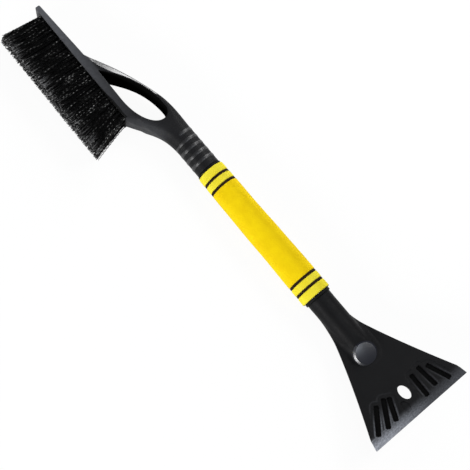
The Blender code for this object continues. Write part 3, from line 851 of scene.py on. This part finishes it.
def scraper_wear_and_highlight(v, y, w):
    """How pale each point is painted: scraped wear and painted sheen on the edge, and painted highlights
    on the bevel's crest, the panels' rims and beside the grooves.
    """
    # All these marks grow towards the -Y corner: painted light standing in for the light from that side
    corner = 1 - smooth_step(y, -BLADE_HALF_WIDTH, LIT_CORNER_END * BLADE_HALF_WIDTH)
    edge = smooth_step(v, BLADE_LENGTH - WEAR_REACH, BLADE_LENGTH - FULL_WEAR_REACH)
    edge = edge * (EDGE_WEAR_AND_SHEEN[0] + EDGE_WEAR_AND_SHEEN[1] * corner)
    crest_highlight = hump(v - BLADE_LENGTH + BEVEL_LENGTH, CREST_WIDTH)
    crest_highlight = crest_highlight * (CREST_HIGHLIGHT[0] + CREST_HIGHLIGHT[1] * corner ** 2)
    grooves = groove_field(v, y)
    rim = hump(grooves - PANEL_MARGIN, RIM_WIDTH) * smooth_step(BLADE_LENGTH - v, *RIM_FADE)
    rim = rim * RIM_HIGHLIGHT * corner
    near, full = GROOVE_HIGHLIGHT_REACH
    beside = hump(grooves - GROOVE_HIGHLIGHT_PLACE, GROOVE_HIGHLIGHT_WIDTH)
    beside = beside * smooth_step(v, BLADE_LENGTH - near, BLADE_LENGTH - full)
    beside = beside * (GROOVE_HIGHLIGHT[0] + GROOVE_HIGHLIGHT[1] * corner)
    on_top = np.maximum(np.maximum(crest_highlight, rim), beside) * (w > 0)
    return np.maximum(edge, on_top)


def make_mouth_ring(material):
    """The plain ring at the mouth of the scraper's neck."""
    low = SCRAPER_MOUTH - SEAT_GAP
    high = SCRAPER_MOUTH + MOUTH_RING
    radius = NECK_RADIUS + RING_PROUD
    profile = sleeve_profile(low, high, lambda x: radius, RING_ROUND)
    ring = turned_piece("scraper_mouth_ring", profile, material)
    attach(ring, "handle")


def make_scraper():
    past_edge, aside = SCRAPER_NET_MARGINS
    bottom, top = SCRAPER_NET_HEIGHTS
    low = (SCRAPER_NET_START, -BLADE_HALF_WIDTH - aside, bottom)
    high = (BLADE_LENGTH + past_edge, BLADE_HALF_WIDTH + aside, top)
    points, quads = surface_net(scraper_field, low, high, SCRAPER_STEP)
    wear_and_highlight = scraper_wear_and_highlight(*points.T)
    v, y, w = points[quads].mean(1).T
    # Faces deep in the grooves get a near-black, matte finish: painted shade
    deep = (w > -BLADE_THICKNESS / 4) & (w < BLADE_THICKNESS / 2 - RECESS_TOP)
    slots = (groove_field(v, y) < RECESS_REACH) & deep
    points = moved(points, blade_matrix())
    black = scraper_plastic().material
    painted_groove_shade = plastic("scraper_groove_painted_shade", SHADE_TONES, roughness=0.6, specular=0.02)
    piece = new_piece("scraper_moulding", points, quads, [black, painted_groove_shade.material], slots, {"wear_and_highlight": wear_and_highlight})
    place(piece, "handle", "scraper_plastic", "scraper_head")
    make_mouth_ring(black)


def pad_profile():
    """Radius and height of the pad from its crown over its rounded rim and down its side."""
    first, last = PAD_RIM_TURNS
    rim = PAD_RADIUS - PAD_RIM_CURVE * (sin(last) - sin(first))
    profile = [(r, (rim ** 2 - r ** 2) / (2 * PAD_DOME)) for r in spread(0.0, rim, PAD_STEPS)]
    for turn in spread(first, last, PAD_STEPS // 2)[1:]:
        fall = PAD_RIM_CURVE * (cos(first) - cos(turn))
        profile.append((rim + PAD_RIM_CURVE * (sin(turn) - sin(first)), -fall))
    profile.append((PAD_RADIUS, -PAD_DEPTH))
    return profile


def pad_mesh():
    """Points and faces of the pad about its own middle: its rings, then the middles of its two ends."""
    profile = pad_profile()
    radius, height = np.array(profile[1:]).T[:, :, None]
    rings = np.stack([radius * np.cos(TURNS), radius * np.sin(TURNS), height + 0.0 * TURNS], -1)
    ends = [(0.0, 0.0, profile[0][1]), (0.0, 0.0, -PAD_DEPTH)]
    points = np.concatenate([rings.reshape(-1, 3), ends])
    crown = len(rings) * TURN_STEPS
    number = np.arange(crown).reshape(len(rings), TURN_STEPS)
    beside = np.roll(number, -1, 1)
    faces = np.stack([number[:-1], number[1:], beside[1:], beside[:-1]], -1).reshape(-1, 4).tolist()
    faces += [[crown, a, b] for a, b in zip(number[0], beside[0])]
    faces += [[crown + 1, b, a] for a, b in zip(number[-1], beside[-1])]
    return points, faces


def pad_slots(count):
    """Finish of each face: 1 on the rim's glossy side, 2 on the rest of the rim, 0 elsewhere."""
    on_rim = np.arange(len(pad_profile()) - 2)[:, None] >= PAD_STEPS - 1
    glossy = np.sin(TURNS + pi / TURN_STEPS) < PAD_GLOSS_SIDE
    slots = np.zeros(count, int)
    slots[:on_rim.size * TURN_STEPS] = np.where(on_rim, np.where(glossy, 1, 2), 0).ravel()
    return slots


def pad_finishes():
    """The pad's polished face, the glossy side of its rim and the dull rest of the rim, all in a paler,
    bluer black that is a painted reflection.
    """
    face = smooth_plastic("pad_plastic", PAD_PAINTED_REFLECTION_TONES, roughness=0.30, specular=0.9)
    glossy = smooth_plastic("pad_rim_plastic", PAD_PAINTED_REFLECTION_TONES, roughness=0.40, specular=0.5)
    glossy.coat(roughness=0.42, ior=2.0)
    dull = smooth_plastic("pad_dull_plastic", PAD_PAINTED_REFLECTION_TONES, roughness=0.7, specular=0.05)
    return [finish.material for finish in (face, glossy, dull)]


def make_pad():
    """The round pad at the end of the ridge, let into the moulding."""
    points, faces = pad_mesh()
    spot = (SCRAPER_MOUTH + PAD_STATION, AXIS.y + PAD_ASIDE, AXIS.z + PAD_HEIGHT + PAD_LIFT)
    points = moved(points, Matrix.Translation(spot) @ Matrix.Rotation(PAD_SLOPE, 4, "Y"))
    pad = new_piece("scraper_pad", points, faces, pad_finishes(), pad_slots(len(faces)), crease=PAD_CREASE)
    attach(pad, "handle")


def turned_mesh(profile, wave=0.0):
    """Points and quads of a closed loop of (x, radius) points turned about the handle's axis."""
    x, radius = np.array(profile).T
    x = x[:, None] + 0.0 * TURNS
    ripple = sum(np.sin(count * TURNS + slant * x) for count, slant in FOAM_RIPPLES)
    radius = radius[:, None] + wave * ripple * (radius[:, None] > BORE_RADIUS + SEAT_GAP)
    points = np.stack([x, AXIS.y + radius * np.sin(TURNS), AXIS.z + radius * np.cos(TURNS)], -1)
    number = np.arange(points.shape[0] * TURN_STEPS).reshape(points.shape[:2])
    after, beside = np.roll(number, -1, 0), np.roll(number, -1, 1)
    corner = np.roll(after, -1, 1)
    return points.reshape(-1, 3), np.stack([number, after, corner, beside], -1).reshape(-1, 4)


def turned_piece(name, profile, material, wave=0.0):
    return new_piece(name, *turned_mesh(profile, wave), [material])


def sleeve_profile(low, high, radius_at, edge, bore=BORE_RADIUS, step=FOAM_STEP):
    """Outline of a sleeve: along its bore from low to high, then back along its rounded outside."""
    steps = max(2, round((high - low - 2 * edge) / step))
    profile = [(low, bore), (high, bore)]
    for turn in spread(0.0, pi / 2, ROUND_STEPS):
        profile.append((high - edge + edge * cos(turn), radius_at(high) - edge + edge * sin(turn)))
    profile += [(x, radius_at(x)) for x in spread(high - edge, low + edge, steps)[1:-1]]
    for turn in spread(0.0, pi / 2, ROUND_STEPS):
        profile.append((low + edge - edge * sin(turn), radius_at(low) - edge + edge * cos(turn)))
    return profile


def grip_radius(x):
    share = (x - GRIP_LOW) / (GRIP_HIGH - GRIP_LOW)
    return GRIP_RADIUS_UPPER + (GRIP_RADIUS_LOWER - GRIP_RADIUS_UPPER) * share


def foam(name, tones):
    """Closed-cell foam: fine pores, soft sheen and a faint mottle."""
    finish = Finish(name, roughness=0.85, specular=0.04)
    finish.set("Sheen Weight", 0.05)
    finish.set("Sheen Roughness", 0.5)
    mottle = finish.span(finish.noise(scale=90.0, detail=4.0), low=0.0, high=1.0)
    finish.colour(mottle, *tones)
    inputs = {"Vector": finish.coordinates, "Scale": FOAM_CELLS}
    pores = new_node(finish.tree, "ShaderNodeTexVoronoi", inputs).outputs["Distance"]
    dents = finish.times(finish.noise(scale=420.0, detail=3.0), FOAM_DENT_SHARE)
    finish.bump(finish.plus(pores, dents), strength=0.35, distance=0.0004)
    return finish.material


def make_grip():
    yellow = foam("foam_yellow", SLEEVE_TONES)
    pale = foam("foam_band", BAND_TONES)
    black = foam("foam_black", STRIPE_TONES)
    kinds = {"grip_sleeve": yellow}
    for end in ("upper", "lower"):
        for side in ("inner", "outer"):
            kinds[f"{end}_{side}_band"] = pale
            kinds[f"{end}_{side}_stripe"] = black
    for node, material in kinds.items():
        low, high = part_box(node)
        stripe = material is black
        inset = SEAT_GAP if stripe else 0.0
        edge = STRIPE_ROUND if stripe else FOAM_ROUND
        profile = sleeve_profile(low.x, high.x, lambda x: grip_radius(x) - inset, edge)
        piece = turned_piece(f"{node}_foam", profile, material, FOAM_WAVE)
        place(piece, "handle", "foam_black" if stripe else "foam_yellow", node)


def make_collars():
    finish = plastic("collar_plastic", COLLAR_TONES, roughness=0.6, specular=0.08, grain=0.05)
    for node in ("upper_collar", "lower_collar"):
        low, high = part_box(node)
        radius = high.z - AXIS.z
        profile = sleeve_profile(low.x, high.x, lambda x: radius, COLLAR_ROUND)
        place(turned_piece(f"{node}_ring", profile, finish.material), "handle", "collar_plastic", node)


def tube_metal():
    """Drawn aluminium, streaked along the tube."""
    finish = Finish("tube_metal", roughness=0.3, specular=0.5)
    finish.set("Metallic", 1.0)
    streaks = finish.noise(scale=220.0, detail=4.0, stretch=(0.05, 1.0, 1.0))
    finish.colour(streaks, *TUBE_TONES)
    finish.drive("Roughness", finish.span(streaks, low=0.22, high=0.42))
    finish.bump(finish.noise(scale=900.0, stretch=(0.04, 1.0, 1.0)), strength=0.12, distance=0.0001)
    return finish.material


def make_tube():
    low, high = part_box("handle_tube")
    inside = TUBE_RADIUS - TUBE_WALL
    profile = sleeve_profile(low.x, high.x, lambda x: TUBE_RADIUS, TUBE_ROUND, inside, TUBE_STEP)
    place(turned_piece("handle_tube_metal", profile, tube_metal()), "handle", "tube_metal", "handle_tube")


def bar_matrix():
    """Frame of the bar's underside: X along the bar from its near end, -Y along the bristles."""
    corner = (BRUSH_MOUTH - SLOTS_NEAR, AXIS.y + bar_underside(SLOTS_NEAR), AXIS.z)
    return Matrix.Translation(corner) @ Matrix.Rotation(-BAR_TILT, 4, "Z")


def strip_mesh(row):
    """The strip that a row's tufts stand in, with softened edges."""
    shape = bmesh.new()
    bmesh.ops.create_cube(shape, size=1.0)
    bmesh.ops.scale(shape, vec=(STRIP_LENGTH, STRIP_THICKNESS, STRIP_WIDTH), verts=shape.verts)
    bmesh.ops.bevel(shape, geom=shape.edges[:], offset=STRIP_EDGE, segments=2, profile=0.5, affect="EDGES")
    middle = (-STRIP_NEAR_MARGIN - STRIP_LENGTH / 2, STRIP_THICKNESS / 2, row_offset(row))
    bmesh.ops.translate(shape, vec=middle, verts=shape.verts)
    points = [tuple(v.co) for v in shape.verts]
    faces = [[v.index for v in f.verts] for f in shape.faces]
    shape.free()
    return points, faces


def fan_out(along, row):
    """How far a filament leans along the bar: most at its strip's ends, and at the far end row by row."""
    share = 2 * along / STRIP_LENGTH
    far = FLARE_FAR + FAR_ROW_LEAN * (ROW_COUNT - 1 - row)
    return np.where(share > 0.0, FLARE_NEAR, -far) * np.abs(share) ** FLARE_POWER


def tuft_centres(row):
    """Places of a strip's tufts, in lines that are staggered from row to row."""
    centres = []
    for line in range(TUFT_LINES):
        aside = line - (TUFT_LINES - 1) / 2
        stagger = aside * TUFT_STAGGER + row_offset(row) / ROW_PITCH * TUFT_STAGGER / ROW_COUNT
        for tuft in range(TUFTS_ALONG):
            share = (tuft + stagger) / (TUFTS_ALONG - 1)
            along = np.interp(share, (0.0, 1.0), TUFT_SPAN) * STRIP_LENGTH
            centres.append((along, aside * STRIP_WIDTH / TUFT_LINES))
    return np.array(centres)


def tube_faces(count):
    """Sides and end caps of all the filaments, each a run of rings of FILAMENT_SIDES points."""
    sides = np.arange(FILAMENT_SIDES)
    after = np.roll(sides, -1)
    shell = np.stack([sides, after, after + FILAMENT_SIDES, sides + FILAMENT_SIDES], 1)
    shell = (shell[None] + (np.arange(FILAMENT_STEPS) * FILAMENT_SIDES)[:, None, None]).reshape(-1, 4)
    starts = np.arange(count) * FILAMENT_SIDES * (FILAMENT_STEPS + 1)
    faces = (shell[None] + starts[:, None, None]).reshape(-1, 4).tolist()
    faces += (sides[::-1][None] + starts[:, None]).tolist()
    faces += (sides[None] + FILAMENT_STEPS * FILAMENT_SIDES + starts[:, None]).tolist()
    return faces


def row_filaments(row, random):
    """Points, faces and tones of all the filaments of one row, tuft by tuft, in the bar's frame. The tones
    are painted glints on the crimps' crests and painted light on the tips' ends.
    """
    centres = tuft_centres(row).repeat(TUFT_FILAMENTS, 0)
    count = len(centres)
    angle = random.uniform(0, 2 * pi, count)
    off = np.sqrt(random.uniform(0, 1, count))[:, None] * np.stack([np.cos(angle), np.sin(angle)], 1)
    root = centres + off * TUFT_RADIUS
    lean = np.stack([fan_out(centres[:, 0], row), (centres[:, 1] + row_offset(row)) * FLARE_ACROSS], 1)
    held = 1 - END_HOLD * np.abs(2 * centres[:, :1] / STRIP_LENGTH) ** END_POWER
    tip = centres + lean + off * TUFT_SPREAD * held + random.normal(0, STRAY, (count, 2))
    limit = AXIS.z - FLOOR_CLEARANCE - 2 * FILAMENT_RADIUS - CRIMP
    tip[:, 1] = np.clip(tip[:, 1] + row_offset(row), -limit, limit) - row_offset(row)
    length = BRISTLE_LENGTH + random.normal(0, RAGGED_TIP, count)
    bow = random.normal(0, FILAMENT_BOW, (count, 2)) * BOW_SHARES
    phase = np.repeat(random.uniform(0, 2 * pi, count // TUFT_FILAMENTS), TUFT_FILAMENTS)
    phase = phase + random.normal(0, CRIMP_SCATTER, count)
    facing = random.uniform(0, 2 * pi, count)
    is_bright = random.uniform(0, 1, count) < BRIGHT_SHARE
    bright = np.where(is_bright, random.uniform(*BRIGHT_LEVELS, count), 0.0)
    thickness = FILAMENT_RADIUS * np.where(is_bright, BRIGHT_RADIUS, 1.0)
    run = random.uniform(0, 2 * pi, count)
    pale_paint = random.uniform(0, 1, count) ** TIP_PAINT_POWER
    bright = bright * np.interp(centres[:, 0] / STRIP_LENGTH, (-0.5, 0.5), PAINTED_GLINT_LEVELS)
    tip_paint_from = random.uniform(*TIP_PAINT_FROM, count)
    rings, painted_glints, tip_paint = [], [], []
    for share in spread(0.0, 1.0, FILAMENT_STEPS):
        middle = root + (tip - root) * share ** FILAMENT_BEND + bow * 4 * share * (1 - share)
        swing = np.sin(2 * pi * share * length / CRIMP_PERIOD + phase)
        wave = CRIMP * min(1.0, share / CRIMP_START) * swing
        middle = middle + wave[:, None] * np.stack([np.cos(facing), np.sin(facing)], 1)
        depth = STRIP_THICKNESS / 2 * (1 - share) - length * share
        radius = thickness * (1 + (FILAMENT_TIP_SHARE - 1) * share)
        for side in range(FILAMENT_SIDES):
            turn = angle + side * 2 * pi / FILAMENT_SIDES
            along = middle[:, 0] + radius * np.cos(turn) - STRIP_NEAR_MARGIN - STRIP_LENGTH / 2
            aside = middle[:, 1] + radius * np.sin(turn) + row_offset(row)
            rings.append(np.stack([along, depth, aside], 1))
        # Painted glints on the crests of bright filaments' crimps, and painted light growing towards each
        # tip's end
        lit = np.maximum(np.sin(BRIGHT_RUN * 2 * pi * share + run), 0.0)
        painted_glints += [bright * np.maximum(swing, 0.0) ** 2 * lit] * FILAMENT_SIDES
        tip_paint += [smooth_step(share, tip_paint_from, 1.0) * pale_paint] * FILAMENT_SIDES
    tones = {"painted_glint": np.stack(painted_glints, 1).ravel(), "tip": np.stack(tip_paint, 1).ravel()}
    return np.stack(rings, 1).reshape(-1, 3), tube_faces(count), tones


def nylon(name):
    """Crimped bristle nylon: black, with painted grey glints on the crimps' bends and painted light on the
    tips' ends.
    """
    finish = Finish(name, roughness=0.42, specular=0.10)
    dark = finish.mix(finish.noise(scale=500.0), *NYLON_TONES)
    with_painted_glints = finish.mix(finish.attribute("painted_glint"), dark, PAINTED_GLINT_COLOUR)
    # The tip tone paints the tips' ends paler as painted light
    finish.colour(finish.attribute("tip"), with_painted_glints, LIT_TIP_PAINT_COLOUR)
    dull = finish.noise(scale=900.0)
    finish.drive("Roughness", finish.span(dull, low=0.36, high=0.52))
    finish.bump(finish.noise(scale=3000.0), strength=0.2, distance=0.0001)
    return finish.material


def make_bristles():
    material = nylon("bristle_nylon")
    for row in range(ROW_COUNT):
        points, faces, tones = row_filaments(row, np.random.default_rng(SEED + row))
        strip_points, strip_faces = strip_mesh(row)
        first = len(points)
        every = moved(np.concatenate([points, np.array(strip_points)]), bar_matrix())
        faces += [[first + i for i in face] for face in strip_faces]
        bare = np.zeros(len(strip_points))
        tones = {key: np.concatenate([values, bare]) for key, values in tones.items()}
        name = f"bristle_row_{row + 1}"
        piece = new_piece(f"{name}_filaments", every, faces, [material], attributes=tones, crease=pi)
        place(piece, "brush", "bristle_nylon", name)


def make_camera():
    """The photo's view: the handle's slope in the picture, then its tilt and its turn to the camera."""
    along = Vector((cos(HANDLE_ANGLE), sin(HANDLE_ANGLE), 0.0))
    beside = Vector((sin(HANDLE_ANGLE), -cos(HANDLE_ANGLE), 0.0))
    nearer = Vector((0.0, 0.0, -1.0))
    axis_x = cos(HANDLE_TILT) * along + sin(HANDLE_TILT) * nearer
    facing = -sin(HANDLE_TILT) * along + cos(HANDLE_TILT) * nearer
    axis_y = cos(SIDE_TILT) * beside - sin(SIDE_TILT) * facing
    axis_z = sin(SIDE_TILT) * beside + cos(SIDE_TILT) * facing
    turn = Matrix((axis_x, axis_y, axis_z))
    right, down, ahead = turn.col
    grip = Vector((GRIP_PIXEL[0] - PICTURE / 2, GRIP_PIXEL[1] - PICTURE / 2, FOCAL_PIXELS)) / FOCAL_PIXELS
    data = bpy.data.cameras.new("photo_camera")
    data.sensor_width = SENSOR_MM
    data.lens = FOCAL_PIXELS / PICTURE * SENSOR_MM
    camera = new_object("photo_camera", data)
    axes = Matrix((right, -down, -ahead)).transposed().to_4x4()
    camera.matrix_world = Matrix.Translation(AXIS - turn @ grip * CAMERA_DISTANCE) @ axes
    bpy.context.scene.camera = camera


def make_floor():
    """White paper that shows mostly plain white to the camera and still takes a faint shadow."""
    finish = Finish("floor_paper", roughness=0.9, specular=0.0)
    finish.set("Base Color", FLOOR_COLOUR)
    tree = finish.tree
    path = tree.nodes.new("ShaderNodeLightPath")
    seen = finish.plus(path.outputs["Is Camera Ray"], path.outputs["Is Glossy Ray"])
    seen = finish.plus(seen, path.outputs["Is Transmission Ray"])
    white = new_node(tree, "ShaderNodeEmission", {"Strength": 1.0})
    inputs = {0: finish.times(seen, FLOOR_WHITE), 1: finish.shader.outputs[0], 2: white.outputs[0]}
    both_looks = new_node(tree, "ShaderNodeMixShader", inputs)
    tree.links.new(both_looks.outputs[0], tree.nodes["Material Output"].inputs["Surface"])
    half = FLOOR_HALF_SIZE
    corners = [(-half, -half, -FLOOR_DROP), (half, -half, -FLOOR_DROP)]
    corners += [(half, half, -FLOOR_DROP), (-half, half, -FLOOR_DROP)]
    floor = new_piece("floor", corners, [range(4)], [finish.material])


def area_light(name, location, target, size, power, colour=(1.0, 1.0, 1.0)):
    """A softbox at a place, turned to face a point on the tool."""
    data = bpy.data.lights.new(name, "AREA")
    data.shape = "RECTANGLE"
    data.size, data.size_y = size
    data.energy = power
    data.color = colour
    lamp = new_object(name, data)
    lamp.location = location
    lamp.rotation_mode = "QUATERNION"
    lamp.rotation_quaternion = (Vector(location) - Vector(target)).to_track_quat("Z", "Y")


def make_lights():
    """Four softboxes, each with its place, the point that it faces, its size and its power in watts."""
    area_light("left_softbox", (0.22, -1.45, 0.62), (0.0, 0.0, 0.02), (1.4, 0.5), 27.0)
    area_light("right_softbox", (0.20, 1.05, 1.20), (0.0, 0.0, 0.02), (0.5, 0.5), 9.0)
    area_light("overhead_softbox", (0.16, 0.18, 1.60), (0.1, 0.0, 0.02), (0.5, 0.5), 5.2, COOL_WHITE)
    area_light("rim_softbox", (-0.55, 0.95, 0.62), (-0.18, 0.0, 0.02), (0.55, 0.75), 9.0)


def make_sky():
    """Plain light from all round, which weakens towards the top of the sky."""
    world = bpy.data.worlds.new("studio")
    world.use_nodes = True
    bpy.context.scene.world = world
    tree = world.node_tree
    coordinates = tree.nodes.new("ShaderNodeTexCoord").outputs["Generated"]
    height = new_node(tree, "ShaderNodeSeparateXYZ", {0: coordinates}).outputs["Z"]
    inputs = dict(enumerate((height, *SKY_HEIGHTS, *SKY_LEVELS)))
    level = new_node(tree, "ShaderNodeMapRange", inputs).outputs[0]
    tree.links.new(level, tree.nodes["Background"].inputs["Strength"])


bpy.context.scene.view_settings.view_transform = "Standard"
make_camera()
make_floor()
make_lights()
make_sky()
make_brush_frame()
make_ribs()
make_scraper()
make_pad()
make_grip()
make_collars()
make_tube()
make_bristles()
